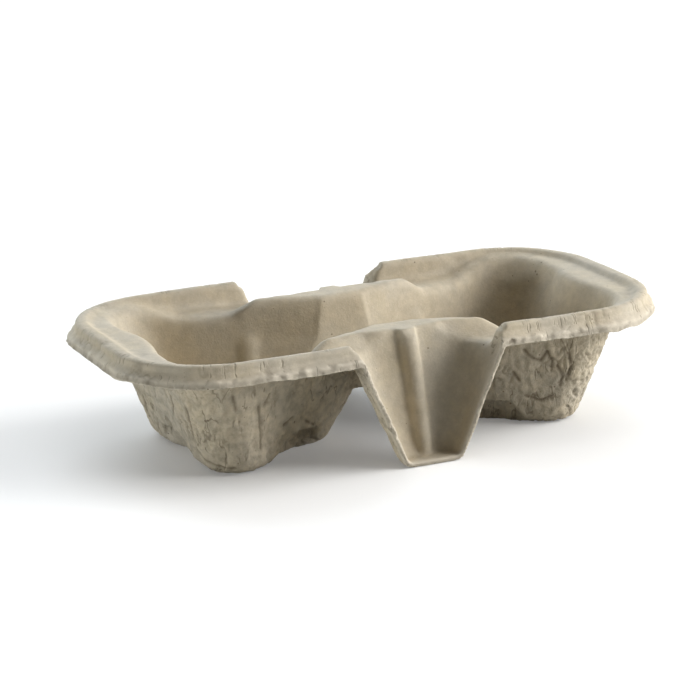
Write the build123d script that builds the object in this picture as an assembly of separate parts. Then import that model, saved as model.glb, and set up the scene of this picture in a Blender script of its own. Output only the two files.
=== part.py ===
"""A moulded-pulp carrier tray for two drinks cups, pressed from one sheet.

Millimetres. The origin is in the middle of the footprint, on the table, with +X along the tray,
+Y to its back and +Z up. The pulp is the space between two forms that are shaped alike: the
upper form lies under the upper face of the sheet, and the lower form is the same set of pockets,
humps and ribs, set in by the thickness of the pulp.
"""
import os
from math import cos, hypot, radians, sin, tan

from build123d import *

# The whole tray
TRAY_LENGTH = 215.0
TRAY_WIDTH = 106.6
TRAY_HEIGHT = 46.0
PULP = 1.7
OVERRUN = 12.0

# The rim: a round crest with a flange outside it that flares and ends in a short hanging lip
RIM_CORNER = 38.0
FLANGE_DROP = 7.4
FLANGE_RUN = 5.3
LIP_RISE = 2.2
LIP_RUN = 0.9
FLARE_RISE = 2.3
FLARE_RUN = 2.5
CREST_ROUND = 1.9
CREST_UNDER_ROUND = 0.6
CREST_FLAT = 0.6
CREST_END_RUN = 4.3
BAND_DRAFT = 6.0

# The deck inside the rim: a ledge at each end, a sunk strip along each side, and a hump across the
# middle with a crown over each trough, steep sides and an easy ramp at each end
LEDGE_DROP = 1.9
LEDGE_FOOT = 57.0
LEDGE_TOP = 74.0
STRIP_DROP = 7.8
HUMP_DROP = 1.9
HUMP_LENGTH = 61.0
HUMP_RAMP = 32.0
HUMP_SIDE_WIDTH = 61.0
HUMP_WAIST_WIDTH = 57.4
HUMP_CROWN = 8.0
HUMP_CROWN_RUN = 12.0
HUMP_WIDTH = 64.4
HUMP_SLOPE = 50.0

# The two wells: a floor with three round corners, lofted through a waist to a mouth that narrows
# towards the middle of the tray
WELL_CENTRE = 51.0
FLOOR_END = 73.6
FLOOR_END_HALF = 40.0
FLOOR_END_CORNER = 11.0
FLOOR_NECK = 20.5
FLOOR_NECK_HALF = 10.5
FLOOR_NECK_CORNER = 8.5
FLOOR_ROUND = 3.6
MOUTH_END = 87.4
MOUTH_END_HALF = 46.5
MOUTH_CORNER = 16.5
MOUTH_UNDER_ROUND = 1.2
NECK_PLACE = 7.0
NECK_HALF = 19.5
NECK_CORNER = 5.0
WAIST_HEIGHT = 30.0
WAIST_NECK = 8.5
WAIST_NECK_CORNER = 6.0

# The broad swelling in the end wall of each well
SWELL_RADIUS = 44.0
SWELL_PROUD = 2.5
SWELL_FOOT_PROUD = 1.0

# The channel that joins the wells over a bridge
CHANNEL_FLOOR = 22.0
CHANNEL_LENGTH = 46.0
CHANNEL_DRAFT = 8.0

# Three arched notches under each well, and a shallow flute in the wall above each of them
NOTCH_TIP = 17.0
NOTCH_SHOULDER = 21.5
NOTCH_REACH = 60.0
NOTCH_HEIGHT = 11.0
NOTCH_TOP_HALF = 8.8
NOTCH_UNDER_ROUND = 2.6
NOTCH_FLARE = 37.0
NOTCH_TIP_SHARE = 0.45
FLUTE_RADIUS = 7.0
FLUTE_PROUD = 2.2
FLUTE_TOP = 26.5
FLUTE_TOP_PROUD = 1.2

# The finger trough in the middle of each long side, with a rib down its back
TROUGH_NECK_HALF = 27.4
TROUGH_NECK_DEPTH = 21.8
TROUGH_NECK_CORNER = 14.0
TROUGH_UNDER_ROUND = 0.6
TROUGH_FOOT_HALF = 10.8
TROUGH_FOOT_DEPTH = 8.5
TROUGH_FOOT_CORNER = 6.0
TROUGH_FOOT_ROUND = 2.4
RIB_TOP_UNDER = 2.0
RIB_FOOT_UNDER = 1.2
RIB_PROUD = 3.0

# Steps of a rounded edge, in degrees
ROUND_TURNS = (0, 30, 60, 90)
FLOOR_TURNS = (0, 25, 50, 75)
NOTCH_ANGLES = (0, 120, 240)

FLANGE_Z = TRAY_HEIGHT - FLANGE_DROP
STRIP_Z = TRAY_HEIGHT - STRIP_DROP
LEDGE_Z = TRAY_HEIGHT - LEDGE_DROP
HUMP_Z = TRAY_HEIGHT - HUMP_DROP
TOP_Z = TRAY_HEIGHT + OVERRUN


def level(z):
    """The horizontal plane at a height."""
    return Plane.XY.offset(z)


def mouth_steps(face_z, under_round, inset):
    """The (grow, z) steps of a pocket's rounded upper edge, from its wall out to the face above it."""
    edge = under_round + PULP
    curve = edge - inset
    steps = []
    for turn in ROUND_TURNS:
        bend = radians(turn)
        steps.append((edge - curve * cos(bend), face_z - edge + curve * sin(bend)))
    return steps


def floor_steps(floor_round, inset):
    """The (grow, z) steps of a pocket's rounded lower edge, from its floor up to its wall."""
    curve = floor_round + inset
    steps = []
    for turn in FLOOR_TURNS:
        bend = radians(turn)
        steps.append((inset - curve * (1 - sin(bend)), PULP - inset + curve * (1 - cos(bend))))
    return steps


def rim_outline(inset, z):
    """The tray's outline, set in from its outer edge."""
    length = TRAY_LENGTH - 2 * inset
    width = TRAY_WIDTH - 2 * inset
    return level(z) * RectangleRounded(length, width, RIM_CORNER - inset)


def set_in(points, distance):
    """An open profile of (inset, z) points, moved towards its lower side by a distance."""
    lines = []
    for (a, b), (c, d) in zip(points, points[1:]):
        run = hypot(c - a, d - b)
        lines.append((a + (d - b) / run * distance, b - (c - a) / run * distance, (c - a) / (d - b)))
    foot_x, foot_z, foot_slope = lines[0]
    moved = [(foot_x + (points[0][1] - foot_z) * foot_slope, points[0][1])]
    for (a, b, s), (c, d, t) in zip(lines, lines[1:]):
        z = b if s == t else (c - a + s * b - t * d) / (s - t)
        moved.append((a + (z - b) * s, z))
    top_x, top_z, top_slope = lines[-1]
    z = points[-1][1] - distance
    moved.append((top_x + (z - top_z) * top_slope, z))
    return moved


def rim_block(inset):
    """The block under the flange and the crest, before the deck is sunk into it."""
    lip = (LIP_RUN, FLANGE_Z + LIP_RISE)
    flare = (LIP_RUN + FLARE_RUN, FLANGE_Z + LIP_RISE + FLARE_RISE)
    ridge = FLANGE_RUN - CREST_FLAT / 2
    profile = [(0, FLANGE_Z), lip, flare]
    reach = 0
    if inset:
        profile = set_in(profile + [(ridge, TRAY_HEIGHT)], inset)
        reach = OVERRUN
    else:
        for turn in ROUND_TURNS[1:]:
            bend = radians(turn)
            crest_z = TRAY_HEIGHT - CREST_ROUND * (1 - sin(bend))
            profile.append((ridge - CREST_ROUND * cos(bend), crest_z))
    skirt = loft([rim_outline(x, z) for x, z in profile], ruled=True)
    return skirt + extrude(rim_outline(-reach, -OVERRUN), FLANGE_Z + OVERRUN)


def deck_outline(grow, z):
    """The outline of the deck, inside the crest."""
    length = TRAY_LENGTH - 2 * (FLANGE_RUN + CREST_END_RUN - grow)
    width = TRAY_WIDTH - 2 * (FLANGE_RUN + CREST_FLAT / 2 + CREST_UNDER_ROUND + PULP - grow)
    return level(z) * RectangleRounded(length, width, RIM_CORNER - FLANGE_RUN - CREST_END_RUN + grow)


def deck_pocket(inset):
    """The hollow inside the crest, down to the sunk strips, less the end ledges and the hump."""
    floor_z = STRIP_Z - inset
    lean = (TRAY_HEIGHT - CREST_UNDER_ROUND - PULP - floor_z) * tan(radians(BAND_DRAFT))
    sections = [deck_outline(inset - lean, floor_z)]
    if inset:
        sections.append(deck_outline(inset, TOP_Z))
    else:
        steps = mouth_steps(TRAY_HEIGHT, CREST_UNDER_ROUND, 0)
        sections += [deck_outline(grow, z) for grow, z in steps]
        sections.append(deck_outline(CREST_UNDER_ROUND + PULP, TOP_Z))
    return loft(sections, ruled=True) - end_ledges(inset) - hump(inset)


def end_ledges(inset):
    """The raised ledge at each end, with a ramp down to the sunk strips."""
    run = LEDGE_TOP - LEDGE_FOOT
    rise = LEDGE_Z - STRIP_Z
    shift = inset * (hypot(run, rise) - run) / rise
    ramp = Plane.XZ * Polygon(
        (LEDGE_FOOT + shift, STRIP_Z - inset), (LEDGE_TOP + shift, LEDGE_Z - inset),
        (TRAY_LENGTH, LEDGE_Z - inset), (TRAY_LENGTH, STRIP_Z - inset), align=None)
    ledge = extrude(ramp, TRAY_WIDTH, both=True)
    return ledge + mirror(ledge, Plane.YZ)


def hump_outline(grow, z):
    """The plan of the hump across the middle: a crown over each trough, and sides that run on."""
    front = [
        (HUMP_CROWN / 2, -HUMP_WIDTH / 2),
        (HUMP_CROWN / 2 + HUMP_CROWN_RUN, -HUMP_WAIST_WIDTH / 2),
        (HUMP_LENGTH / 2, -HUMP_SIDE_WIDTH / 2),
        (TRAY_LENGTH / 2, -HUMP_SIDE_WIDTH / 2),
    ]
    right = front + [(x, -y) for x, y in reversed(front)]
    left = [(-x, y) for x, y in reversed(right)]
    return level(z) * offset(Polygon(*right, *left, align=None), grow, kind=Kind.INTERSECTION)


def hump(inset):
    """The raised ground between the wells, which the channel and the troughs cut into."""
    slope = radians(HUMP_SLOPE)
    shift = inset * tan(slope / 2)
    top = hump_outline(-shift, HUMP_Z - inset)
    foot = hump_outline((HUMP_Z - STRIP_Z) / tan(slope) - shift, STRIP_Z - inset)
    return loft([foot, top], ruled=True) & hump_ramps(inset)


def hump_ramps(inset):
    """The long profile of the hump: level along its top, with a ramp down to the strips at each end."""
    slope = radians(HUMP_RAMP)
    top = HUMP_LENGTH / 2 - inset * tan(slope / 2)
    foot = top + (HUMP_Z - STRIP_Z) / tan(slope)
    low, high = STRIP_Z - inset, HUMP_Z - inset
    profile = Plane.XZ * Polygon((-foot, low), (foot, low), (top, high), (-top, high), align=None)
    return extrude(profile, TRAY_WIDTH, both=True)


def well_outline(neck, end, grow, z):
    """A four-sided outline, rounded by its own radius at the neck and at the end of the tray."""
    (neck_x, neck_half, neck_corner), (end_x, end_half, end_corner) = neck, end
    front = [(neck_x, -neck_half), (end_x, -end_half)]
    back = [(end_x, end_half), (neck_x, neck_half)]
    shape = Polygon(*front, *back, align=None)
    shape = fillet(shape.vertices().sort_by(Axis.X)[2:], end_corner)
    shape = fillet(shape.vertices().sort_by(Axis.X)[:2], neck_corner)
    return level(z) * offset(shape, grow)


def floor_outline(grow, z):
    """The outline of a well near its floor: a triangle with round corners, which end in the feet."""
    neck = (FLOOR_NECK, FLOOR_NECK_HALF, FLOOR_NECK_CORNER)
    end = (FLOOR_END, FLOOR_END_HALF, FLOOR_END_CORNER)
    return well_outline(neck, end, grow, z)


def mouth_outline(grow, z):
    """The mouth of a well: wide towards the end of the tray, narrow at the neck."""
    neck = (NECK_PLACE, NECK_HALF, NECK_CORNER)
    end = (MOUTH_END, MOUTH_END_HALF, MOUTH_CORNER)
    return well_outline(neck, end, grow, z)


def waist():
    """The neck and the end of a well at its waist, above which the neck is upright."""
    share = WAIST_HEIGHT / LEDGE_Z
    neck_half = NECK_HALF - (LEDGE_Z - WAIST_HEIGHT) * tan(radians(CHANNEL_DRAFT))
    end_x = FLOOR_END + (MOUTH_END - FLOOR_END) * share
    end_half = FLOOR_END_HALF + (MOUTH_END_HALF - FLOOR_END_HALF) * share
    end_corner = FLOOR_END_CORNER + (MOUTH_CORNER - FLOOR_END_CORNER) * share
    return (WAIST_NECK, neck_half, WAIST_NECK_CORNER), (end_x, end_half, end_corner)


def well(inset):
    """One well, at the +X end, with its end swelling, three notches and three flutes standing into it."""
    floor_edge = floor_steps(FLOOR_ROUND, inset)
    mouth_edge = mouth_steps(LEDGE_Z, MOUTH_UNDER_ROUND, inset)
    sections = [floor_outline(grow, z) for grow, z in floor_edge]
    sections.append(well_outline(*waist(), inset, WAIST_HEIGHT))
    sections += [mouth_outline(grow, z) for grow, z in mouth_edge]
    sections.append(mouth_outline(MOUTH_UNDER_ROUND + PULP, TOP_Z))
    pocket = loft(sections, ruled=True) - end_swell(inset)
    for angle in NOTCH_ANGLES:
        pocket -= Pos(WELL_CENTRE) * Rot(0, 0, angle) * (notch(inset) + flute(angle, inset))
    return pocket


def end_swell(inset):
    """The broad swelling of a well's end wall, which widens the ledge in its middle."""
    foot = FLOOR_END - SWELL_FOOT_PROUD + SWELL_RADIUS
    mouth = MOUTH_END - SWELL_PROUD + SWELL_RADIUS
    edge = mouth_steps(LEDGE_Z, MOUTH_UNDER_ROUND, inset)
    sections = [level(PULP) * Pos(foot) * Circle(SWELL_RADIUS - inset)]
    sections += [level(z) * Pos(mouth) * Circle(SWELL_RADIUS - grow) for grow, z in edge]
    sections.append(level(TOP_Z) * Pos(mouth) * Circle(SWELL_RADIUS - MOUTH_UNDER_ROUND - PULP))
    return loft(sections, ruled=True)


def notch_section(place, share, inset):
    """The arch of a notch at a distance from the middle of its well, as a share of its full size."""
    flare = radians(NOTCH_FLARE)
    height = NOTCH_HEIGHT * share - inset
    top = NOTCH_TOP_HALF * share - inset * (1 / cos(flare) - tan(flare))
    foot = top + (height + PULP) * tan(flare)
    arch = Polygon((-foot, -PULP), (foot, -PULP), (top, height), (-top, height), align=None)
    arch = fillet(arch.vertices().group_by(Axis.Y)[-1], (NOTCH_UNDER_ROUND + PULP - inset) * share)
    return Plane((place, 0, 0), x_dir=(0, 1, 0), z_dir=(1, 0, 0)) * arch


def notch(inset):
    """An arched hollow pressed up under a well along +X, narrow at its inner tip."""
    sections = [
        notch_section(NOTCH_TIP + inset, NOTCH_TIP_SHARE, inset),
        notch_section(NOTCH_SHOULDER + inset, 1, inset),
        notch_section(NOTCH_REACH, 1, inset),
    ]
    return loft(sections, ruled=True)


def side_reach(neck_x, neck_half, end_x, end_half, angle):
    """How far a well's outline lies from the middle of the well, in the direction of a notch."""
    if angle == 0:
        return end_x - WELL_CENTRE
    slope = (end_half - neck_half) / (end_x - neck_x)
    half = neck_half + (WELL_CENTRE - neck_x) * slope
    return half / (abs(sin(radians(angle))) - cos(radians(angle)) * slope)


def flute(angle, inset):
    """A shallow round rib up the wall of a well, over a notch along +X, with a round top."""
    (waist_x, waist_half, _), (end_x, end_half, _) = waist()
    foot = side_reach(FLOOR_NECK, FLOOR_NECK_HALF, FLOOR_END, FLOOR_END_HALF, angle)
    middle = side_reach(waist_x, waist_half, end_x, end_half, angle)
    wall = foot + (middle - foot) * FLUTE_TOP / WAIST_HEIGHT
    radius = FLUTE_RADIUS - inset
    foot_x = foot - FLUTE_PROUD + FLUTE_RADIUS
    top_x = wall - FLUTE_TOP_PROUD + FLUTE_RADIUS
    sections = [level(PULP) * Pos(foot_x) * Circle(radius), level(FLUTE_TOP) * Pos(top_x) * Circle(radius)]
    return loft(sections, ruled=True) + Pos(top_x, 0, FLUTE_TOP) * Sphere(radius)


def channel(inset):
    """The passage between the wells, over the bridge."""
    floor_z = CHANNEL_FLOOR - inset
    steps = mouth_steps(LEDGE_Z, MOUTH_UNDER_ROUND, inset)
    lean = (steps[0][1] - floor_z) * tan(radians(CHANNEL_DRAFT))
    steps = [(steps[0][0] - lean, floor_z)] + steps + [(MOUTH_UNDER_ROUND + PULP, TOP_Z)]
    sections = []
    for grow, z in steps:
        sections.append(level(z) * Rectangle(CHANNEL_LENGTH, 2 * (NECK_HALF + grow)))
    return loft(sections, ruled=True)


def trough_outline(half, depth, corner, grow, z):
    """The outline of the front trough at a height: half of it lies outside the tray."""
    shape = RectangleRounded(2 * (half + grow), 2 * (depth + grow), corner + grow)
    return level(z) * Pos(0, -TRAY_WIDTH / 2) * shape


def trough(inset):
    """The finger trough in the front side, less the rib down its back."""
    foot = (TROUGH_FOOT_HALF, TROUGH_FOOT_DEPTH, TROUGH_FOOT_CORNER)
    neck = (TROUGH_NECK_HALF, TROUGH_NECK_DEPTH, TROUGH_NECK_CORNER)
    edge = TROUGH_UNDER_ROUND + PULP
    spread = (TROUGH_NECK_HALF - TROUGH_FOOT_HALF) / (HUMP_Z - edge - PULP)
    floor_edge = floor_steps(TROUGH_FOOT_ROUND, inset)
    mouth_edge = mouth_steps(HUMP_Z, TROUGH_UNDER_ROUND, inset)
    sections = [trough_outline(*foot, grow, z) for grow, z in floor_edge]
    sections += [trough_outline(*neck, grow, z) for grow, z in mouth_edge]
    sections.append(trough_outline(*neck, edge + (TOP_Z - HUMP_Z) * spread, TOP_Z))
    return loft(sections, ruled=True) - rib(inset)


def rib(inset):
    """The round rib that stands out of the back of the trough from its top to its foot."""
    neck_z = HUMP_Z - TROUGH_UNDER_ROUND - PULP
    foot_radius = RIB_FOOT_UNDER + PULP
    top_radius = RIB_TOP_UNDER + PULP
    foot_y = TROUGH_FOOT_DEPTH - RIB_PROUD + foot_radius - TRAY_WIDTH / 2
    neck_y = TROUGH_NECK_DEPTH - RIB_PROUD + top_radius - TRAY_WIDTH / 2
    top_y = neck_y + (neck_y - foot_y) * (HUMP_Z - inset - neck_z) / neck_z
    foot = level(0) * Pos(0, foot_y) * Circle(foot_radius - inset)
    top = level(HUMP_Z - inset) * Pos(0, top_y) * Circle(top_radius - inset)
    return loft([foot, top], ruled=True)


def form(inset):
    """Everything under the face that lies an inset below the sheet's upper face."""
    right = well(inset)
    front = trough(inset)
    body = rim_block(inset) - deck_pocket(inset)
    body = body - right - mirror(right, Plane.YZ) - channel(inset)
    return body - front - mirror(front, Plane.XZ)


tray = form(0) - form(PULP)
os.makedirs("parts", exist_ok=True)
export_step(tray, "parts/carrier_tray.step")
print(len(tray.solids()), "solid,", round(tray.volume), "cubic millimetres")
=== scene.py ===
"""The looks of a moulded-pulp carrier tray for two drinks cups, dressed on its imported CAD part.

Metres, in the frame of the part: the origin is on the table in the middle of the footprint, with +X
along the tray, +Y to its back and +Z up. The sheet of pulp is remeshed from the solid, softened at
its folds, crumpled where the felt side of the pulp is rough, and torn a little along its trimmed edge.
"""
import logging
import math
from dataclasses import dataclass, field
from enum import Enum
from typing import Optional

import bpy
import numpy as np
from mathutils import Matrix, Vector, noise

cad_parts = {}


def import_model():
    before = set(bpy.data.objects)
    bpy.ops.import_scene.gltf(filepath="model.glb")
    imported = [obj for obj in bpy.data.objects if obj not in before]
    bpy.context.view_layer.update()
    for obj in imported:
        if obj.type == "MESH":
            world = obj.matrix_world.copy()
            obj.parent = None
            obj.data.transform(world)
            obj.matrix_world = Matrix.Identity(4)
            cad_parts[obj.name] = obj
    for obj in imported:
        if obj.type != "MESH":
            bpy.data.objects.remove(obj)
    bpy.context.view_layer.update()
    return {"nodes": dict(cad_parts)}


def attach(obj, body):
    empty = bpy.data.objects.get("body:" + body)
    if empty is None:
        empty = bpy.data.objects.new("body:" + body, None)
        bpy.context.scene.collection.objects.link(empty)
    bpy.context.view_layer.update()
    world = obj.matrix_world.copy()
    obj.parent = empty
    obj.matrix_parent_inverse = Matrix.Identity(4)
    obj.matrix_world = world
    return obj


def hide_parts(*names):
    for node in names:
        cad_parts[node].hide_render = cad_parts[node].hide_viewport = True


LOG = logging.getLogger("carrier_tray")
Colour = tuple[float, float, float]
Triple = tuple[float, float, float]
Span = tuple[float, float]
Socket = bpy.types.NodeSocket
TINY = 1e-6


class Mark(Enum):
    """The painted marks on the sheet, by the name of the attribute that holds each."""

    UNDER = "under_face"
    SKIRT = "skirt_face"
    # The trimmed edge's paler worn fibres, together with painted highlights on spots in the notches.
    EDGE = "trimmed_edge_and_highlight"
    # Painted shade in cracks, creases, pleat valleys, gashes, grooves and dents.
    CREASE = "crease"
    ROUND = "way_round_rim"


class Measure(Enum):
    """The measures of a point of the sheet that a fade can follow."""

    X = "place along the tray"
    LENGTHWISE = "distance from the middle, along the tray"
    SIDEWAYS = "distance from the middle, across the tray"
    HEIGHT = "height over the table"
    INSIDE = "distance inside the trimmed outline, seen from above"


def ease(low: float, high: float, values: np.ndarray) -> np.ndarray:
    """A smooth step from 0 at low to 1 at high.

    Args:
        low: The value that gives 0.
        high: The value that gives 1; it may be the smaller one.
        values: The values to grade.

    Returns:
        The graded values, from 0 to 1.
    """
    share = np.clip((values - low) / (high - low), 0.0, 1.0)
    return share * share * (3.0 - 2.0 * share)


@dataclass(frozen=True)
class Grain:
    """A layer of noise in a finish: the size of its features in metres, its octaves and its grading.

    The finer octaves are as strong as rough says, and bend is how far the noise is distorted. Graded,
    the noise goes smoothly over the span of its levels to the span of the result.
    """

    size: float
    octaves: float = 3.0
    rough: float = 0.55
    bend: float = 0.0
    levels: Span = (0.0, 1.0)
    result: Span = (0.0, 1.0)


class NodeBench:
    """A bench for wiring the nodes of one material."""

    def __init__(self, name: str) -> None:
        """Make an empty node material.

        Args:
            name: The material's name.
        """
        self.material = bpy.data.materials.new(name)
        self.material.use_nodes = True
        self.tree = self.material.node_tree
        self.tree.nodes.clear()
        self.output = self.tree.nodes.new("ShaderNodeOutputMaterial")

    def node(self, kind: str, **sockets: object) -> bpy.types.Node:
        """Add a node and fill or link its input sockets.

        Args:
            kind: The node's type name.
            sockets: Values or output sockets by input name, with underscores for spaces.

        Returns:
            The new node.
        """
        made = self.tree.nodes.new(kind)
        for name, value in sockets.items():
            self.feed(made.inputs[name.replace("_", " ")], value)
        return made

    def feed(self, socket: Socket, value: object) -> None:
        """Link an output to a socket, or set the socket to a plain value.

        Args:
            socket: The input socket.
            value: A plain value or an output socket.
        """
        if isinstance(value, Socket):
            self.tree.links.new(value, socket)
        else:
            socket.default_value = value

    def math(self, operation: str, first: object, second: object = 0.0, third: object = 0.0) -> Socket:
        """Add a Math node.

        Args:
            operation: The node's operation.
            first: A number or an output socket.
            second: A number or an output socket.
            third: A number or an output socket.

        Returns:
            The result's socket.
        """
        made = self.tree.nodes.new("ShaderNodeMath")
        made.operation = operation
        for socket, value in zip(made.inputs, (first, second, third)):
            self.feed(socket, value)
        return made.outputs[0]

    def stretch(self, place: Socket, scale: Triple) -> Socket:
        """Scale coordinates along X, Y and Z.

        Args:
            place: The coordinates.
            scale: The scale along each axis.

        Returns:
            The scaled coordinates' socket.
        """
        made = self.tree.nodes.new("ShaderNodeVectorMath")
        made.operation = "MULTIPLY"
        for socket, value in zip(made.inputs, (place, scale)):
            self.feed(socket, value)
        return made.outputs[0]

    def blend(self, mode: str, factor: object, first: object, second: object) -> Socket:
        """Mix two colours.

        Args:
            mode: The blend type.
            factor: A number or an output socket.
            first: A colour or an output socket.
            second: A colour or an output socket.

        Returns:
            The mixed colour's socket.
        """
        made = self.tree.nodes.new("ShaderNodeMix")
        made.data_type = "RGBA"
        made.blend_type = mode
        self.feed(made.inputs[0], factor)
        for socket, value in zip(made.inputs[6:8], (first, second)):
            self.feed(socket, (*value, 1.0) if isinstance(value, tuple) else value)
        return made.outputs[2]

    def grey(self, value: Socket) -> Socket:
        """Make a grey to multiply a colour by.

        Args:
            value: The grey's value.

        Returns:
            The colour's socket.
        """
        made = self.tree.nodes.new("ShaderNodeCombineColor")
        for socket in made.inputs:
            self.feed(socket, value)
        return made.outputs[0]

    def step(self, value: Socket, levels: Span, result: Span) -> Socket:
        """Grade a value smoothly.

        Args:
            value: The value's socket.
            levels: The values that give the two ends of the result.
            result: The result's two ends.

        Returns:
            The graded value's socket.
        """
        made = self.tree.nodes.new("ShaderNodeMapRange")
        made.interpolation_type = "SMOOTHSTEP"
        for socket, number in zip(made.inputs, (value, *levels, *result)):
            self.feed(socket, number)
        return made.outputs[0]

    def grain(self, place: Socket, layer: Grain) -> Socket:
        """A layer of noise as it comes.

        Args:
            place: The coordinates.
            layer: The layer.

        Returns:
            The noise value's socket.
        """
        made = self.node("ShaderNodeTexNoise", Vector=place, Scale=1.0 / layer.size, Detail=layer.octaves,
                         Roughness=layer.rough, Distortion=layer.bend)
        return made.outputs["Fac"]

    def graded(self, place: Socket, layer: Grain) -> Socket:
        """A layer of noise, graded as the layer says."""
        return self.step(self.grain(place, layer), layer.levels, layer.result)

    def threads(self, place: Socket, layer: Grain) -> Socket:
        """Thin wandering lines along the middle value of a layer, graded by the noise's distance from it."""
        away = self.math("ABSOLUTE", self.math("SUBTRACT", self.grain(place, layer), 0.5))
        return self.step(away, layer.levels, layer.result)

    def mark(self, mark: Mark) -> Socket:
        """Read one of the sheet's painted marks.

        Args:
            mark: The mark.

        Returns:
            The mark's socket.
        """
        made = self.tree.nodes.new("ShaderNodeAttribute")
        made.attribute_name = mark.value
        return made.outputs["Fac"]

    def finish(self, shader: bpy.types.Node) -> bpy.types.Material:
        """Send a shader to the output and return the material."""
        self.tree.links.new(shader.outputs[0], self.output.inputs["Surface"])
        return self.material


@dataclass(frozen=True)
class Fleck:
    """Dark specks of one kind: the size of the cells that hold one each, and how scarce they are."""

    size: float
    scarcity: float


@dataclass(frozen=True)
class PulpFinish:
    """Grey-buff paper pulp: mottled, fibrous and flecked, with thin cracks on its felt side that are darkened
    with painted shade.
    """

    roughness: float = 0.74
    gloss: float = 0.6
    buff: Colour = (0.52, 0.438, 0.307)
    ash: Colour = (0.49, 0.43, 0.328)
    stained: Colour = (0.48, 0.41, 0.265)
    pale: Colour = (0.66, 0.59, 0.47)
    bark: Colour = (0.15, 0.105, 0.065)
    # The colour of the painted shade that darkens cracks, creases, pleat valleys, gashes and grooves.
    painted_shade_colour: Colour = (0.15, 0.115, 0.07)
    cloud: Grain = Grain(0.030, 4.0, 0.6, levels=(0.32, 0.68))
    stain: Grain = Grain(0.0085, levels=(0.55, 0.75), result=(0.0, 0.4))
    mottle: Grain = Grain(0.0042, 5.0, 0.65, levels=(0.25, 0.75), result=(0.88, 1.10))
    blotch: Grain = Grain(0.0034, 4.0, 0.6, levels=(0.30, 0.66), result=(0.80, 1.12))
    fibre: Grain = Grain(0.0021, 2.0, 0.5, 1.2, levels=(0.0, 0.022), result=(0.25, 0.0))
    flecks: tuple[Fleck, ...] = (Fleck(0.0052, 0.066), Fleck(0.0021, 0.074))
    fleck_drift: float = 0.26
    fleck_under: float = 0.02
    fleck_levels: Span = (0.0, 0.03)
    fleck_result: Span = (0.0, 0.7)
    felt_crack: Grain = Grain(0.0048, 2.0, 0.5, 0.3, levels=(0.0, 0.032), result=(1.0, 0.0))
    felt_break: Grain = Grain(0.0050, 2.0, levels=(0.45, 0.56))
    felt_patch: Grain = Grain(0.018, 2.0, levels=(0.36, 0.52))
    skirt_crack: Grain = Grain(0.0028, 2.0, 0.5, 0.3, levels=(0.0, 0.045), result=(1.0, 0.0))
    skirt_break: Grain = Grain(0.0036, 2.0, levels=(0.54, 0.62))
    skirt_bend: Grain = Grain(0.0030, 2.0)
    skirt_sway: float = 0.0012
    crack_scale: Triple = (1.0, 1.0, 0.30)
    break_scale: Triple = (1.0, 1.0, 0.45)
    edge_strength: float = 0.7
    crease_strength: float = 0.85
    crack_strength: float = 0.62
    skirt_strength: float = 0.8
    tooth: Grain = Grain(0.0009, 5.0, 0.62)
    tooth_share: float = 0.40
    lump: Grain = Grain(0.0028)
    lump_share: float = 0.3
    lump_under: float = 1.8
    crack_sink: float = 0.8
    bump_strength: float = 0.55
    bump_height: float = 0.0005

    def make(self) -> bpy.types.Material:
        """Wire the pulp's material.

        Returns:
            The material.
        """
        bench = NodeBench("moulded_pulp")
        place = bench.tree.nodes.new("ShaderNodeTexCoord").outputs["Object"]
        under = bench.mark(Mark.UNDER)
        cracks = bench.math("MAXIMUM", self.felt_cracks(bench, place, under), self.skirt_cracks(bench, place))
        shader = bench.node("ShaderNodeBsdfPrincipled", Roughness=self.roughness,
                            Specular_IOR_Level=self.gloss)
        bench.feed(shader.inputs["Base Color"], self.colour(bench, place, under, cracks))
        bench.feed(shader.inputs["Normal"], self.relief(bench, place, under, cracks))
        return bench.finish(shader)

    def colour(self, bench: NodeBench, place: Socket, under: Socket, cracks: Socket) -> Socket:
        """Build up the pulp's colour, with painted shade in its cracks and creases and painted highlights on
        spots in its notches.

        Args:
            bench: The bench to wire on.
            place: Object coordinates.
            under: The mark of the rough under face.
            cracks: The thin cracks, 1 in a crack.

        Returns:
            The colour's socket.
        """
        tone = bench.blend("MIX", bench.graded(place, self.cloud), self.buff, self.ash)
        tone = bench.blend("MIX", bench.graded(place, self.stain), tone, self.stained)
        tone = bench.blend("MULTIPLY", 1.0, tone, bench.grey(bench.graded(place, self.mottle)))
        tone = bench.blend("MULTIPLY", under, tone, bench.grey(bench.graded(place, self.blotch)))
        tone = bench.blend("MIX", bench.threads(place, self.fibre), tone, self.pale)
        # The trimmed edge is paler for its cut fibres, and the marked notch spots are paled as painted
        # highlights.
        wear_and_highlight = bench.math("MULTIPLY", bench.mark(Mark.EDGE), self.edge_strength)
        tone = bench.blend("MIX", wear_and_highlight, tone, self.pale)
        tone = bench.blend("MIX", self.specks(bench, place, under), tone, self.bark)
        # Painted shade: the marked creases, pleat valleys, gashes and grooves and the thin cracks are mixed
        # towards the shade colour.
        creases = bench.math("MULTIPLY", bench.mark(Mark.CREASE), self.crease_strength)
        sunk = bench.math("MAXIMUM", creases, bench.math("MULTIPLY", cracks, self.crack_strength))
        return bench.blend("MIX", sunk, tone, self.painted_shade_colour)

    def specks(self, bench: NodeBench, place: Socket, under: Socket) -> Socket:
        """Small dark specks of unpulped fibre, in two sizes.

        Args:
            bench: The bench to wire on.
            place: Object coordinates.
            under: The mark of the rough under face, which shows more of them.

        Returns:
            The specks' socket, full in a speck.
        """
        found = []
        for fleck in self.flecks:
            cells = bench.node("ShaderNodeTexVoronoi", Vector=place, Scale=1.0 / fleck.size)
            drift = bench.grain(place, Grain(2.0 * fleck.size, 2.0))
            room = bench.math("MULTIPLY_ADD", drift, self.fleck_drift, -fleck.scarcity)
            room = bench.math("MULTIPLY_ADD", under, self.fleck_under, room)
            room = bench.math("SUBTRACT", room, cells.outputs["Distance"])
            found.append(bench.step(room, self.fleck_levels, self.fleck_result))
        return bench.math("MAXIMUM", *found)

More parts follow.
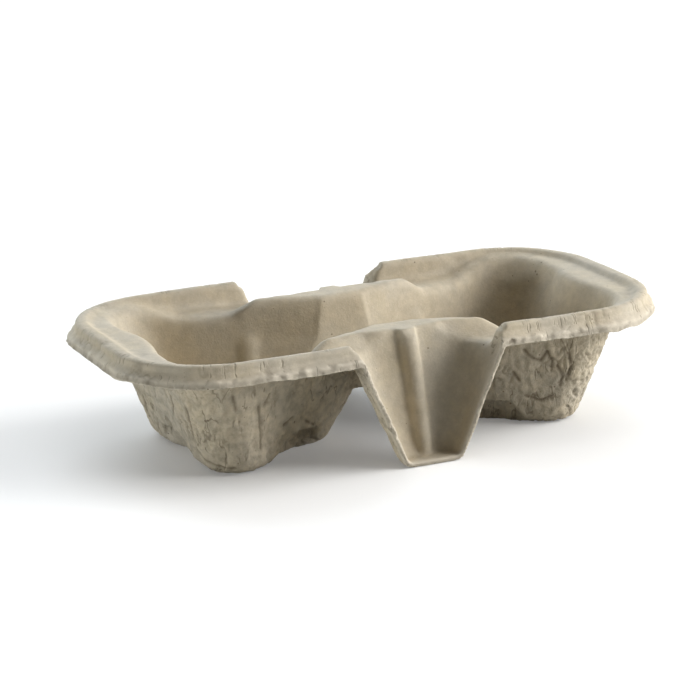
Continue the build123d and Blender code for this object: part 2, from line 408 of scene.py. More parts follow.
    def felt_cracks(self, bench: NodeBench, place: Socket, under: Socket) -> Socket:
        """Thin broken cracks on the felt side, in patches.

        Args:
            bench: The bench to wire on.
            place: Object coordinates.
            under: The mark of the rough under face.

        Returns:
            The cracks' socket, 1 in a crack.
        """
        cracks = bench.threads(bench.stretch(place, self.crack_scale), self.felt_crack)
        broken = bench.graded(bench.stretch(place, self.break_scale), self.felt_break)
        patch = bench.math("MULTIPLY", bench.graded(place, self.felt_patch), under)
        return bench.math("MULTIPLY", bench.math("MULTIPLY", cracks, broken), patch)

    def skirt_cracks(self, bench: NodeBench, place: Socket) -> Socket:
        """Thin broken cracks on the skirt of the rim, upright all the way round.

        Args:
            bench: The bench to wire on.
            place: Object coordinates.

        Returns:
            The cracks' socket, full in a crack.
        """
        bend = bench.grain(place, self.skirt_bend)
        course = bench.math("MULTIPLY_ADD", bend, self.skirt_sway, bench.mark(Mark.ROUND))
        course = bench.node("ShaderNodeCombineXYZ", X=course).outputs[0]
        broken = bench.graded(bench.stretch(place, self.break_scale), self.skirt_break)
        cracks = bench.math("MULTIPLY", bench.threads(course, self.skirt_crack), broken)
        cracks = bench.math("MULTIPLY", cracks, bench.mark(Mark.SKIRT))
        return bench.math("MULTIPLY", cracks, self.skirt_strength)

    def relief(self, bench: NodeBench, place: Socket, under: Socket, cracks: Socket) -> Socket:
        """The fine tooth of the pulp, coarser on the under face, and the sunken cracks.

        Args:
            bench: The bench to wire on.
            place: Object coordinates.
            under: The mark of the rough under face.
            cracks: The thin cracks, 1 in a crack.

        Returns:
            The bumped normal's socket.
        """
        coarse = bench.math("MULTIPLY_ADD", under, self.lump_under, self.lump_share)
        lumps = bench.math("MULTIPLY", bench.grain(place, self.lump), coarse)
        height = bench.math("MULTIPLY_ADD", bench.grain(place, self.tooth), self.tooth_share, lumps)
        height = bench.math("MULTIPLY_ADD", cracks, -self.crack_sink, height)
        bump = bench.node("ShaderNodeBump", Strength=self.bump_strength, Distance=self.bump_height,
                          Height=height)
        return bump.outputs[0]


@dataclass(frozen=True)
class FloorFinish:
    """A matt white table that throws only a little light back at the tray."""

    white: Colour = (0.70, 0.695, 0.68)
    thrown: Colour = (0.42, 0.42, 0.40)
    lift: float = 0.15

    def make(self) -> bpy.types.Material:
        """Wire the table's material.

        Returns:
            The material.
        """
        bench = NodeBench("white_table")
        rays = bench.tree.nodes.new("ShaderNodeLightPath").outputs
        seen = bench.math("MAXIMUM", rays["Is Camera Ray"], rays["Is Glossy Ray"])
        seen = bench.math("MAXIMUM", seen, rays["Is Transmission Ray"])
        board = bench.node("ShaderNodeBsdfDiffuse", Color=bench.blend("MIX", seen, self.thrown, self.white))
        glow = bench.node("ShaderNodeEmission", Strength=bench.math("MULTIPLY", seen, self.lift))
        both = bench.tree.nodes.new("ShaderNodeAddShader")
        bench.feed(both.inputs[0], board.outputs[0])
        bench.feed(both.inputs[1], glow.outputs[0])
        return bench.finish(both)


@dataclass(frozen=True)
class Fade:
    """A smooth fade along one measure, from 0 at one level to 1 at another, which may be the lower one."""

    measure: Measure
    none: float
    full: float


@dataclass(frozen=True)
class Zone:
    """A stretch of the sheet, bounded by fades, and the rounds of smoothing that it gets, if any."""

    fades: tuple[Fade, ...]
    rounds: int = 0

    def weight(self, found: dict[Measure, np.ndarray]) -> np.ndarray:
        """How far each point belongs to the stretch.

        Args:
            found: The measures of the points.

        Returns:
            The weights, from 0 to 1.
        """
        shares = [ease(fade.none, fade.full, found[fade.measure]) for fade in self.fades]
        return np.prod(shares, axis=0)


@dataclass(frozen=True)
class Relief:
    """A layer of relief in the pulp: the size of its features along X, Y and Z, and its height.

    The seed keeps the layer's noise apart from the other layers'. The width of a crack and the sway of
    its course are counted in features. Each octave is finer and weaker than the one before.
    """

    size: Triple
    height: float
    seed: float
    octaves: int = 3
    width: float = 0.12
    apart: Triple = (3.1, 7.7, 1.9)
    weaker: float = 1.0
    finer: float = 2.0
    steep: float = 2.2
    sway: float = 0.45
    sway_rate: float = 1.7

    def rows(self, points: np.ndarray) -> list[list[float]]:
        """The points counted in features, moved apart from the other layers."""
        return (points / np.array(self.size) + self.seed * np.array(self.apart)).tolist()

    def cloud(self, points: np.ndarray) -> np.ndarray:
        """Fractal noise of about -1 to 1 at the points."""
        rows = self.rows(points)
        return np.array([noise.fractal(row, self.weaker, self.finer, self.octaves) for row in rows])

    def ridges(self, points: np.ndarray) -> np.ndarray:
        """Creased ridges of about -1 to 1 at the points."""
        return 1.0 - self.steep * np.abs(self.cloud(points))

    def cracks(self, points: np.ndarray) -> np.ndarray:
        """Cracks between crumpled plates.

        Args:
            points: The points, one row each.

        Returns:
            The depth at each point, 1 in a crack and 0 on a plate.
        """
        plate = np.empty(len(points))
        rate = self.sway_rate
        for k, (x, y, z) in enumerate(self.rows(points)):
            bend = noise.noise_vector((x * rate, y * rate, z * rate)) * self.sway
            near = noise.voronoi((x + bend[0], y + bend[1], z + bend[2]))[0]
            plate[k] = near[1] - near[0]
        return 1.0 - ease(0.0, self.width, plate)


@dataclass(frozen=True)
class Blemish:
    """A small flaw: its middle, how far it reaches, the way that the sheet is moved there, the painted shade
    that darkens it and the painted highlight that pales it.
    """

    place: Triple
    reach: float
    move: Triple
    # How much painted shade darkens the flaw.
    painted_shade: float = 0.0
    # How much painted highlight pales the flaw.
    pale: float = 0.0

    def weight(self, points: np.ndarray) -> np.ndarray:
        """How much of the flaw each point takes, 1 at its middle."""
        away = np.linalg.norm(points - np.array(self.place), axis=1) / self.reach
        return np.exp(-away * away)


@dataclass(frozen=True)
class Crease:
    """A dark crease: the course that it takes over the sheet, how wide and deep it is, and the painted shade
    that darkens it.
    """

    course: tuple[Triple, ...]
    width: float = 0.00058
    depth: float = 0.00055
    # How much painted shade darkens the crease.
    painted_shade: float = 0.95

    def weight(self, points: np.ndarray) -> np.ndarray:
        """How much of the crease each point takes.

        Args:
            points: The points, one row each.

        Returns:
            The weights, 1 along the course.
        """
        most = np.zeros(len(points))
        for start, end in zip(np.array(self.course[:-1]), np.array(self.course[1:])):
            run = end - start
            share = np.clip((points - start) @ run / (run @ run), 0.0, 1.0)
            away = np.linalg.norm(points - start - share[:, None] * run, axis=1) / self.width
            most = np.maximum(most, np.exp(-away * away))
        return most


@dataclass
class Skin:
    """What the relief needs to know of each point of the sheet."""

    points: np.ndarray
    normals: np.ndarray
    found: dict[Measure, np.ndarray]
    outward: np.ndarray
    edge: np.ndarray
    under: np.ndarray
    skirt: np.ndarray
    lift: np.ndarray
    wall: np.ndarray


@dataclass
class PulpSheet:
    """The tray itself: one sheet of pulp, pressed to shape and trimmed round its rim."""

    node: str = "carrier_tray"
    slot: str = "pulp"
    voxel: float = 0.00062
    most_triangles: int = 190000
    length: float = 0.215
    width: float = 0.1066
    corner: float = 0.038

    smoothing: float = 0.5
    last_smoothing: float = 0.4
    weight_steps: int = 10
    folds: Zone = Zone((Fade(Measure.INSIDE, 0.0006, 0.0035),), rounds=5)
    rib: Zone = Zone((Fade(Measure.LENGTHWISE, 0.0085, 0.0065), Fade(Measure.SIDEWAYS, 0.028, 0.032)))
    rib_hold: float = 0.9
    mouths: Zone = Zone((
        Fade(Measure.INSIDE, 0.0075, 0.0095), Fade(Measure.HEIGHT, 0.024, 0.030),
        Fade(Measure.LENGTHWISE, 0.022, 0.026), Fade(Measure.LENGTHWISE, 0.094, 0.086)), rounds=45)
    ramps: Zone = Zone((
        *mouths.fades, Fade(Measure.LENGTHWISE, 0.034, 0.046), Fade(Measure.LENGTHWISE, 0.092, 0.080),
        Fade(Measure.SIDEWAYS, 0.020, 0.028)), rounds=140)
    left_rim: Zone = Zone((
        Fade(Measure.INSIDE, 0.0035, 0.0055), Fade(Measure.HEIGHT, 0.036, 0.040),
        Fade(Measure.X, -0.040, -0.060)), rounds=25)
    lips: Zone = Zone((
        Fade(Measure.LENGTHWISE, 0.006, 0.009), Fade(Measure.LENGTHWISE, 0.030, 0.026),
        Fade(Measure.SIDEWAYS, 0.031, 0.035), Fade(Measure.SIDEWAYS, 0.048, 0.045),
        Fade(Measure.HEIGHT, 0.032, 0.035)), rounds=40)
    rib_crest: Zone = Zone((
        Fade(Measure.LENGTHWISE, 0.0046, 0.0022), Fade(Measure.SIDEWAYS, 0.024, 0.029),
        Fade(Measure.INSIDE, 0.0035, 0.0070), Fade(Measure.HEIGHT, 0.003, 0.008),
        Fade(Measure.HEIGHT, 0.045, 0.038)))
    rib_rise: float = 0.0010

    edge: Zone = Zone((Fade(Measure.INSIDE, 0.0024, 0.0006),))
    skirt: Zone = Zone((Fade(Measure.INSIDE, 0.0078, 0.0058), Fade(Measure.HEIGHT, 0.0346, 0.0366)))
    lift: Zone = Zone((Fade(Measure.HEIGHT, 0.001, 0.014),))
    under_turn: Span = (0.06, -0.06)
    under_rounds: int = 3
    wall_turn: Span = (0.75, 0.35)

    slack: Relief = Relief((0.034, 0.034, 0.034), 0.00045, 1.0, 2)
    patches: Relief = Relief((0.017, 0.017, 0.017), 1.0, 4.0, 2)
    lumps: Relief = Relief((0.0070, 0.0070, 0.0090), 0.00024, 5.0)
    wrinkles: Relief = Relief((0.0030, 0.0030, 0.0042), 0.00020, 6.0)
    pleats: Relief = Relief((0.0046, 0.0046, 0.0200), 0.00040, 7.0, 2)
    crush: Relief = Relief((0.0052, 0.0052, 0.0046), 0.00066, 8.0)
    felt: Relief = Relief((0.0058, 0.0058, 0.0085), 0.00045, 9.0, width=0.11)
    silk: Relief = Relief((0.0095, 0.0095, 0.0095), 0.00009, 10.0)
    dents: Relief = Relief((0.0110, 0.0110, 0.0110), 0.00016, 11.0, 2)
    flutes: Relief = Relief((0.0030, 0.0030, 0.0240), 0.00005, 12.0, 2)
    gashes: Relief = Relief((0.0052, 0.0052, 0.0300), 0.00022, 13.0, width=0.10)
    fray: Relief = Relief((0.0026, 0.0026, 0.0026), 0.00046, 14.0)
    waver: Relief = Relief((0.0100, 0.0100, 0.0100), 0.00062, 15.0, 2)

    felt_levels: Span = (-0.25, 0.45)
    # How much painted shade goes into the felt side's cracks and along its pleat valleys.
    felt_shade: float = 0.40
    pleat_least: float = 0.35
    pleat_levels: Span = (-0.1, -0.8)
    pleat_shade: float = 0.18
    crushed: Zone = Zone((
        Fade(Measure.LENGTHWISE, 0.048, 0.080), Fade(Measure.SIDEWAYS, 0.018, 0.036),
        Fade(Measure.HEIGHT, 0.038, 0.030)))
    left_crush: float = 0.30
    dent_levels: Span = (0.35, 0.62)
    gash_levels: Span = (-0.1, 0.35)
    # How much painted shade goes into the skirt's gashes.
    gash_shade: float = 0.40
    flute_least: float = 0.3
    nose_turn: Span = (0.82, 0.97)
    nose_reach: Span = (0.0014, 0.0006)
    layer_groove: float = 0.00030
    # How much painted shade goes into the groove along the trimmed edge.
    groove_shade: float = 0.45
    fray_rise: float = 0.8
    edge_calm: float = 0.6

    blemishes: tuple[Blemish, ...] = (
        Blemish((-0.1040, -0.0207, 0.0368), 0.0042, (0.0, 0.0, -0.0011)),
        Blemish((-0.1052, -0.0120, 0.0372), 0.0030, (0.0, 0.0, -0.0005)),
        Blemish((0.0745, -0.0524, 0.0368), 0.0040, (0.0, 0.0, -0.0010)),
        Blemish((0.0850, -0.0485, 0.0368), 0.0050, (0.0, 0.0, -0.0012)),
        # This dent is darkened with painted shade.
        Blemish((0.0312, -0.0530, 0.0400), 0.0012, (-0.0002, 0.0011, 0.0004), painted_shade=1.0),
        Blemish((-0.0156, -0.0533, 0.0059), 0.0015, (-0.0008, 0.0, 0.0)),
        # These spots in the notches under the left well are paled as painted highlights.
        Blemish((-0.0731, 0.0093, 0.0045), 0.0042, (-0.0006, -0.0004, 0.0), pale=1.0),
        Blemish((-0.0287, -0.0138, 0.0036), 0.0034, (0.0, -0.0006, 0.0), pale=1.0),
        Blemish((-0.0401, -0.0254, 0.0116), 0.0016, (0.0, -0.0004, 0.0), pale=0.8),
        Blemish((-0.0365, -0.0250, 0.0126), 0.0016, (0.0, -0.0004, 0.0), pale=0.8),
    )
    # Creases sunk into the sheet and darkened with painted shade.
    creases: tuple[Crease, ...] = (
        Crease(((0.0471, -0.0333, 0.0301), (0.0502, -0.0336, 0.0267), (0.0531, -0.0345, 0.0254),
                (0.0551, -0.0359, 0.0289))),
        Crease(((0.0551, -0.0359, 0.0289), (0.0572, -0.0360, 0.0252), (0.0573, -0.0353, 0.0212))),
        Crease(((0.0444, -0.0301, 0.0213), (0.0469, -0.0302, 0.0176))),
        Crease(((0.0591, -0.0364, 0.0231), (0.0613, -0.0364, 0.0183), (0.0609, -0.0357, 0.0151))),
        Crease(((0.0496, -0.0300, 0.0114), (0.0547, -0.0321, 0.0093), (0.0585, -0.0342, 0.0113))),
        Crease(((0.0624, -0.0385, 0.0281), (0.0641, -0.0379, 0.0225), (0.0629, -0.0366, 0.0170))),
        Crease(((-0.0828, -0.0261, 0.0256), (-0.0802, -0.0241, 0.0182), (-0.0774, -0.0205, 0.0102))),
        Crease(((-0.0712, -0.0399, 0.0313), (-0.0697, -0.0388, 0.0262))),
        Crease(((-0.0599, -0.0370, 0.0253), (-0.0589, -0.0355, 0.0182), (-0.0579, -0.0336, 0.0091))),
        Crease(((-0.0765, -0.0200, 0.0077), (-0.0752, -0.0246, 0.0052), (-0.0717, -0.0296, 0.0035),
                (-0.0673, -0.0323, 0.0029))),
        Crease(((-0.0572, -0.0362, 0.0264), (-0.0556, -0.0361, 0.0291))),
        Crease(((-0.0800, 0.0187, 0.0172), (-0.0775, 0.0215, 0.0104))),
        Crease(((-0.0393, -0.0264, 0.0159), (-0.0351, -0.0224, 0.0123), (-0.0317, -0.0209, 0.0102))),
        Crease(((-0.0476, -0.0299, 0.0152), (-0.0440, -0.0288, 0.0173))),
        Crease(((-0.0834, -0.0145, 0.0265), (-0.0807, -0.0103, 0.0191))),
    )
    body: Optional[bpy.types.Object] = None

    def build(self, source: bpy.types.Object, finish: PulpFinish) -> bpy.types.Object:
        """Make the sheet from the solid and dress it.

        Args:
            source: The CAD node's object, which is left as it is.
            finish: The pulp's finish.

        Returns:
            The finished piece.
        """
        self.take_form(source)
        self.remesh()
        self.soften()
        self.raise_rib()
        self.crumple()
        self.thin()
        self.body.data.materials.clear()
        self.body.data.materials.append(finish.make())
        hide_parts(self.node)
        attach(self.body, "root")
        return self.body

    def take_form(self, source: bpy.types.Object) -> None:
        """Copy the solid's mesh into a piece of its own and close its seams.

        Args:
            source: The CAD node's object.
        """
        bpy.ops.object.select_all(action="DESELECT")
        self.body = bpy.data.objects.new("pulp_sheet", source.data.copy())
        bpy.context.scene.collection.objects.link(self.body)
        bpy.context.view_layer.objects.active = self.body
        self.body.select_set(True)
        bpy.ops.object.mode_set(mode="EDIT")
        bpy.ops.mesh.select_all(action="SELECT")
        bpy.ops.mesh.remove_doubles(threshold=TINY)
        bpy.ops.object.mode_set(mode="OBJECT")

    def apply(self, kind: str, **settings: object) -> None:
        """Add a modifier to the sheet and apply it.

        Args:
            kind: The modifier's type.
            settings: Its settings by name.
        """
        modifier = self.body.modifiers.new(kind.lower(), kind)
        for name, value in settings.items():
            setattr(modifier, name, value)
        bpy.ops.object.modifier_apply(modifier=modifier.name)

    def remesh(self) -> None:
        """Turn the solid's long facets into an even mesh that can be softened and crumpled."""
        self.apply("REMESH", mode="VOXEL", voxel_size=self.voxel, adaptivity=0.0, use_smooth_shade=True)
        LOG.info("remeshed to %d faces", len(self.body.data.polygons))

    def points(self) -> np.ndarray:
        """Read the mesh's points.

        Returns:
            The points, one row each.
        """
        flat = np.empty(len(self.body.data.vertices) * 3, np.float32)
        self.body.data.vertices.foreach_get("co", flat)
        return flat.reshape(-1, 3).astype(float)

    def move_to(self, points: np.ndarray) -> None:
        """Put the mesh's points at these places."""
        self.body.data.vertices.foreach_set("co", points.astype(np.float32).ravel())
        self.body.data.update()

    def normals(self) -> np.ndarray:
        """Read the mesh's outward normals at its points.

        Returns:
            The normals, one row each.
        """
        flat = np.empty(len(self.body.data.vertices) * 3, np.float32)
        self.body.data.vertex_normals.foreach_get("vector", flat)
        return flat.reshape(-1, 3).astype(float)

    def spread(self, values: np.ndarray, rounds: int) -> np.ndarray:
        """Average values over neighbouring points.

        Args:
            values: One value for each point.
            rounds: How many times to average.

        Returns:
            The averaged values.
        """
        ends = np.empty(len(self.body.data.edges) * 2, np.int32)
        self.body.data.edges.foreach_get("vertices", ends)
        one, two = ends.reshape(-1, 2).T
        count = len(values)
        near = np.bincount(one, minlength=count) + np.bincount(two, minlength=count) + 1.0
        for _ in range(rounds):
            around = np.bincount(one, values[two], count) + np.bincount(two, values[one], count)
            values = (values + around) / near
        return values

    def past_corner(self, points: np.ndarray) -> np.ndarray:
        """How far each point lies past the middle of its corner of the trimmed outline, along X and Y."""
        middle = np.array([self.length / 2 - self.corner, self.width / 2 - self.corner])
        return np.abs(points[:, :2]) - middle

    def inside(self, points: np.ndarray) -> np.ndarray:
        """How far each point lies inside the trimmed outline of the tray, seen from above."""
        over = self.past_corner(points)
        return self.corner - np.linalg.norm(np.maximum(over, 0.0), axis=1) - np.minimum(over.max(axis=1), 0.0)

    def way_round(self, points: np.ndarray) -> np.ndarray:
        """How far each point lies along the trimmed outline.

        Args:
            points: The points, one row each.

        Returns:
            The distances, counted in each quarter from the corner's start at the end of the tray.
        """
        over = self.past_corner(points)
        turn = np.arctan2(np.maximum(over[:, 1], 0.0), np.maximum(over[:, 0], TINY))
        return self.corner * turn + np.minimum(over[:, 1], 0.0) - np.minimum(over[:, 0], 0.0)

    def measure(self, points: np.ndarray) -> dict[Measure, np.ndarray]:
        """Take the measures that the fades follow.

        Args:
            points: The points, one row each.

        Returns:
            The values of each measure.
        """
        x, y, z = points.T
        return {Measure.X: x, Measure.LENGTHWISE: np.abs(x), Measure.SIDEWAYS: np.abs(y), Measure.HEIGHT: z,
                Measure.INSIDE: self.inside(points)}

    def paint(self, mark: Mark, values: np.ndarray) -> None:
        """Store one of the painted marks on the mesh."""
        layer = self.body.data.attributes.new(mark.value, "FLOAT", "POINT")
        layer.data.foreach_set("value", values.astype(np.float32))

    def smooth(self, weights: np.ndarray, rounds: int) -> None:
        """Smooth a part of the sheet.

        Args:
            weights: How much of the smoothing each point takes, from 0 to 1.
            rounds: How many times to smooth.
        """
        group = self.body.vertex_groups.new(name="smoothed")
        for level in range(1, self.weight_steps + 1):
            chosen = np.nonzero(np.round(weights * self.weight_steps) == level)[0]
            group.add(chosen.tolist(), level / self.weight_steps, "REPLACE")
        self.apply("SMOOTH", factor=self.smoothing, iterations=rounds, vertex_group=group.name)
        self.body.vertex_groups.clear()

    def soften(self) -> None:
        """Round the folds of the sheet but for its trimmed edge and ribs, and some stretches for longer."""
        found = self.measure(self.points())
        free = 1.0 - self.rib_hold * self.rib.weight(found)
        self.smooth(self.folds.weight(found) * free, self.folds.rounds)
        for zone in (self.mouths, self.ramps, self.left_rim, self.lips):
            self.smooth(zone.weight(found), zone.rounds)
        self.apply("SMOOTH", factor=self.last_smoothing, iterations=1)

    def raise_rib(self) -> None:
        """Bring out the rib down the back of each trough."""
        points = self.points()
        crest = self.rib_crest.weight(self.measure(points))
        points[:, 1] += self.rib_rise * crest * np.sign(points[:, 1])
        self.move_to(points)

    def read_skin(self) -> Skin:
        """Sort the sheet's points into edge, felt side, skirt and walls.

        Returns:
            What the relief needs to know of them.
        """
        points, normals = self.points(), self.normals()
        found = self.measure(points)
        over = np.maximum(self.past_corner(points), 0.0) * np.sign(points[:, :2])
        outward = over / np.maximum(np.linalg.norm(over, axis=1, keepdims=True), TINY)
        under = self.spread(ease(*self.under_turn, normals[:, 2]), self.under_rounds)
        return Skin(points, normals, found, outward, edge=self.edge.weight(found), under=under,
                    skirt=self.skirt.weight(found) * (1.0 - under), lift=self.lift.weight(found),
                    wall=ease(*self.wall_turn, np.abs(normals[:, 2])))

    def felt_side(self, skin: Skin) -> tuple[np.ndarray, np.ndarray]:
        """The crumpled felt side: lumps and wrinkles, upright pleats, crushed corners and cracks.

        Args:
            skin: The sheet's points.

        Returns:
            The height and the painted shade in the cracks and pleat valleys at each point.
        """
        points = skin.points
        patch = ease(*self.felt_levels, self.patches.cloud(points))
        crushed = self.crushed.weight(skin.found) * np.where(points[:, 0] > 0.0, 1.0, self.left_crush)
        cracks = self.felt.cracks(points) * patch
        pleats = self.pleats.ridges(points) * skin.wall
        pleats *= self.pleat_least + (1.0 - self.pleat_least) * (1.0 - patch)
        height = self.lumps.height * self.lumps.cloud(points)
        height += self.wrinkles.height * self.wrinkles.ridges(points)
        height += self.pleats.height * pleats
        height += self.crush.height * self.crush.ridges(points) * crushed
        height -= self.felt.height * cracks
        # Painted shade in the cracks and along the pleat valleys.
        return height, self.felt_shade * cracks + self.pleat_shade * ease(*self.pleat_levels, pleats)

    def mould_side(self, skin: Skin) -> tuple[np.ndarray, np.ndarray]:
        """The smooth mould side, with a silky unevenness, and the flutes and gashes of the skirt.

        Args:
            skin: The sheet's points.

        Returns:
            The height and the painted shade in the gashes at each point.
        """
        points = skin.points
        patch = ease(*self.gash_levels, self.patches.cloud(points[:, (1, 2, 0)]))
        gashes = self.gashes.cracks(points) * patch * skin.skirt
        flutes = self.flutes.cloud(points) * skin.skirt
        flutes *= self.flute_least + (1.0 - self.flute_least) * patch
        height = self.silk.height * self.silk.cloud(points)
        height -= self.dents.height * ease(*self.dent_levels, self.dents.cloud(points))
        height += self.flutes.height * flutes
        height -= self.gashes.height * gashes
        # Painted shade in the gashes.
        return height, self.gash_shade * gashes

    def trim(self, skin: Skin) -> tuple[np.ndarray, np.ndarray]:
        """The trimmed edge: frayed and wavering, with a groove between the layers of the sheet that is
        darkened with painted shade.

        Args:
            skin: The sheet's points.

        Returns:
            The move and the painted shade in the groove at each point.
        """
        fray = self.fray.height * self.fray.cloud(skin.points)
        fray += self.waver.height * self.waver.cloud(skin.points)
        facing = (skin.normals[:, :2] * skin.outward).sum(axis=1)
        nose = ease(*self.nose_turn, facing) * ease(*self.nose_reach, skin.found[Measure.INSIDE])
        free = skin.edge * skin.lift
        away = (fray - self.layer_groove * nose) * free
        rise = self.fray_rise * fray * free
        move = np.concatenate([skin.outward * away[:, None], rise[:, None]], axis=1)
        # Painted shade in the groove.
        return move, self.groove_shade * nose * skin.edge

    def slacken(self, skin: Skin) -> np.ndarray:
        """The slow warp of the whole sheet, which leaves its feet flat on the table.

        Args:
            skin: The sheet's points.

        Returns:
            The move at each point.
        """
        shifts = (0.0, self.length, 2.0 * self.length)
        warp = np.stack([self.slack.cloud(skin.points + shift) for shift in shifts], axis=1)
        return self.slack.height * warp * skin.lift[:, None]

    def crumple(self) -> None:
        """Warp the sheet, roughen its two faces, fray its trimmed edge, add its flaws and paint its marks,
        among them painted shade in its cracks and creases and painted highlights in its notches.
        """
        skin = self.read_skin()
        felt, felt_shade = self.felt_side(skin)
        mould, mould_shade = self.mould_side(skin)
        trim, trim_shade = self.trim(skin)
        upper = 1.0 - skin.under
        height = (skin.under * felt + upper * mould) * (1.0 - self.edge_calm * skin.edge)
        moved = skin.points + self.slacken(skin) + skin.normals * height[:, None] + trim
        # Painted shade in the cracks, pleat valleys, gashes, grooves, dents and creases.
        painted_shade = skin.under * felt_shade + upper * mould_shade + trim_shade
        wear_and_highlight = skin.edge.copy()
        for flaw in self.blemishes:
            weight = flaw.weight(skin.points)
            moved += weight[:, None] * np.array(flaw.move)
            # A flaw's dark share is painted shade, its pale share a painted highlight.
            painted_shade += flaw.painted_shade * weight
            wear_and_highlight += flaw.pale * weight
        for crease in self.creases:
            weight = crease.weight(skin.points)
            moved -= skin.normals * (crease.depth * weight)[:, None]
            painted_shade += crease.painted_shade * weight
        moved[:, 2] = np.maximum(moved[:, 2], 0.0)
        self.move_to(moved)
        self.paint(Mark.UNDER, skin.under)
        self.paint(Mark.SKIRT, skin.skirt)
        self.paint(Mark.EDGE, np.clip(wear_and_highlight, 0.0, 1.0))
        self.paint(Mark.CREASE, np.clip(painted_shade, 0.0, 1.0))
        self.paint(Mark.ROUND, self.way_round(skin.points))

    def thin(self) -> None:
        """Drop the triangles that the flat stretches can spare, and smooth the shading."""
        self.apply("TRIANGULATE")
        count = len(self.body.data.polygons)
        if count > self.most_triangles:
            self.apply("DECIMATE", ratio=self.most_triangles / count)
        self.body.data.shade_smooth()
        LOG.info("%s has %d triangles", self.body.name, len(self.body.data.polygons))


@dataclass(frozen=True)
class SoftLamp:
    """A broad soft lamp: far off, where it lights the table evenly, or near, at a distance in metres.

    The azimuth is counted from +X towards the back, in degrees, as are the elevation and the spread.
    The level is what a white face turned to the lamp in the middle of the tray would show.
    """

    name: str
    azimuth: float
    elevation: float
    spread: float
    level: float
    colour: Colour
    distance: Optional[float] = None
    table_only: bool = False

    def light(self) -> bpy.types.Light:
        """Make the lamp's light: a panel if it is near, or else a sun.

        Returns:
            The light.
        """
        if self.distance:
            made = bpy.data.lights.new(self.name, "AREA")
            made.size = 2.0 * self.distance * math.tan(math.radians(self.spread / 2.0))
            made.energy = self.level * (math.pi * self.distance) ** 2
        else:
            made = bpy.data.lights.new(self.name, "SUN")
            made.angle = math.radians(self.spread)
            made.energy = self.level * math.pi
        made.color = self.colour
        return made

    def hang(self, board: bpy.types.Object) -> None:
        """Hang the lamp, facing the tray.

        Args:
            board: The table, the one thing that its own lamp lights.
        """
        turn, rise = math.radians(self.azimuth), math.radians(self.elevation)
        place = Vector((math.cos(rise) * math.cos(turn), math.cos(rise) * math.sin(turn), math.sin(rise)))
        place *= self.distance or 1.0
        lamp = bpy.data.objects.new(self.name, self.light())
        lamp.location = place
        lamp.rotation_euler = (-place).to_track_quat("-Z", "Y").to_euler()
        lamp.visible_camera = False
        bpy.context.scene.collection.objects.link(lamp)
        if self.table_only:
            lit = bpy.data.collections.new(self.name)
            lit.objects.link(board)
            lamp.light_linking.receiver_collection = lit


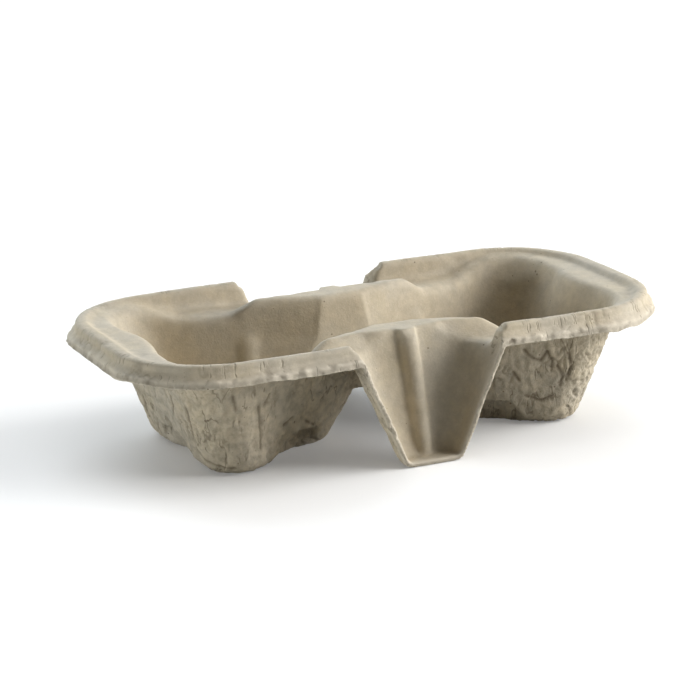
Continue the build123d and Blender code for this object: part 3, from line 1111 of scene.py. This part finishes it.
@dataclass
class Studio:
    """The white table, the soft lamps and the camera at the photograph's angle."""

    target: Vector = field(default_factory=lambda: Vector((0.0, 0.0, 0.020)))
    distance: float = 1.0306
    azimuth: float = -26.78
    elevation: float = 16.88
    roll: float = -0.43
    lens: float = 145.57
    sensor: float = 36.0
    shift: Span = (-0.0234, 0.0294)
    clip: Span = (0.05, 20.0)
    table_size: float = 8.0
    table_drop: float = 0.0001
    sky_level: float = 0.07
    lamps: tuple[SoftLamp, ...] = (
        SoftLamp("key_lamp", -21.0, 25.0, 44.0, 1.00, (0.985, 0.99, 1.0)),
        SoftLamp("near_lamp", -24.0, 24.0, 50.0, 0.60, (0.985, 0.99, 1.0), distance=0.46),
        SoftLamp("back_lamp", 84.0, 34.0, 56.0, 0.84, (0.82, 0.91, 1.0)),
        SoftLamp("left_lamp", 178.0, 2.0, 10.0, 0.54, (0.92, 0.97, 1.0)),
        SoftLamp("table_lamp", 0.0, 88.0, 70.0, 0.44, (1.0, 0.99, 0.98), table_only=True),
    )

    def build(self) -> None:
        """Set the table, the lamps, the sky and the camera."""
        bpy.context.scene.view_settings.view_transform = "Standard"
        board = self.table()
        self.sky()
        for lamp in self.lamps:
            lamp.hang(board)
        self.camera()

    def table(self) -> bpy.types.Object:
        """Lay the table under the tray.

        Returns:
            The table.
        """
        bpy.ops.object.select_all(action="DESELECT")
        bpy.ops.mesh.primitive_grid_add(x_subdivisions=2, y_subdivisions=2, size=self.table_size,
                                        location=(0.0, 0.0, -self.table_drop))
        board = bpy.context.object
        board.name = "table"
        board.data.materials.append(FloorFinish().make())
        return board

    def sky(self) -> None:
        """Give soft light from all round, seen as plain white."""
        world = bpy.data.worlds.new("studio_sky")
        bpy.context.scene.world = world
        world.use_nodes = True
        tree = world.node_tree
        tree.nodes.clear()
        rays = tree.nodes.new("ShaderNodeLightPath").outputs
        level = tree.nodes.new("ShaderNodeMapRange")
        level.inputs["To Min"].default_value = self.sky_level
        level.inputs["To Max"].default_value = 1.0
        tree.links.new(rays["Is Camera Ray"], level.inputs["Value"])
        glow = tree.nodes.new("ShaderNodeBackground")
        tree.links.new(level.outputs[0], glow.inputs["Strength"])
        out = tree.nodes.new("ShaderNodeOutputWorld")
        tree.links.new(glow.outputs[0], out.inputs["Surface"])

    def camera(self) -> None:
        """Set the camera at the photograph's place, lens and framing."""
        turn, rise = math.radians(self.azimuth), math.radians(self.elevation)
        back = Vector((math.sin(turn) * math.cos(rise), -math.cos(turn) * math.cos(rise), math.sin(rise)))
        right = Vector((0.0, 0.0, 1.0)).cross(back).normalized()
        up = back.cross(right)
        data = bpy.data.cameras.new("camera")
        data.lens = self.lens
        data.sensor_width = self.sensor
        data.shift_x, data.shift_y = self.shift
        data.clip_start, data.clip_end = self.clip
        camera = bpy.data.objects.new("camera", data)
        bpy.context.scene.collection.objects.link(camera)
        stand = Matrix((right, up, back)).transposed() @ Matrix.Rotation(math.radians(self.roll), 3, "Z")
        camera.matrix_world = Matrix.Translation(self.target + back * self.distance) @ stand.to_4x4()
        bpy.context.scene.camera = camera


def main() -> None:
    """Load the part, build the sheet and the studio."""
    logging.basicConfig(level=logging.INFO, format="%(name)s: %(message)s")
    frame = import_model()
    sheet = PulpSheet()
    piece = sheet.build(frame["nodes"][sheet.node], PulpFinish())
    LOG.info("built %s", piece.name)
    Studio().build()
    LOG.info("built the studio")


if __name__ == "__main__":
    main()
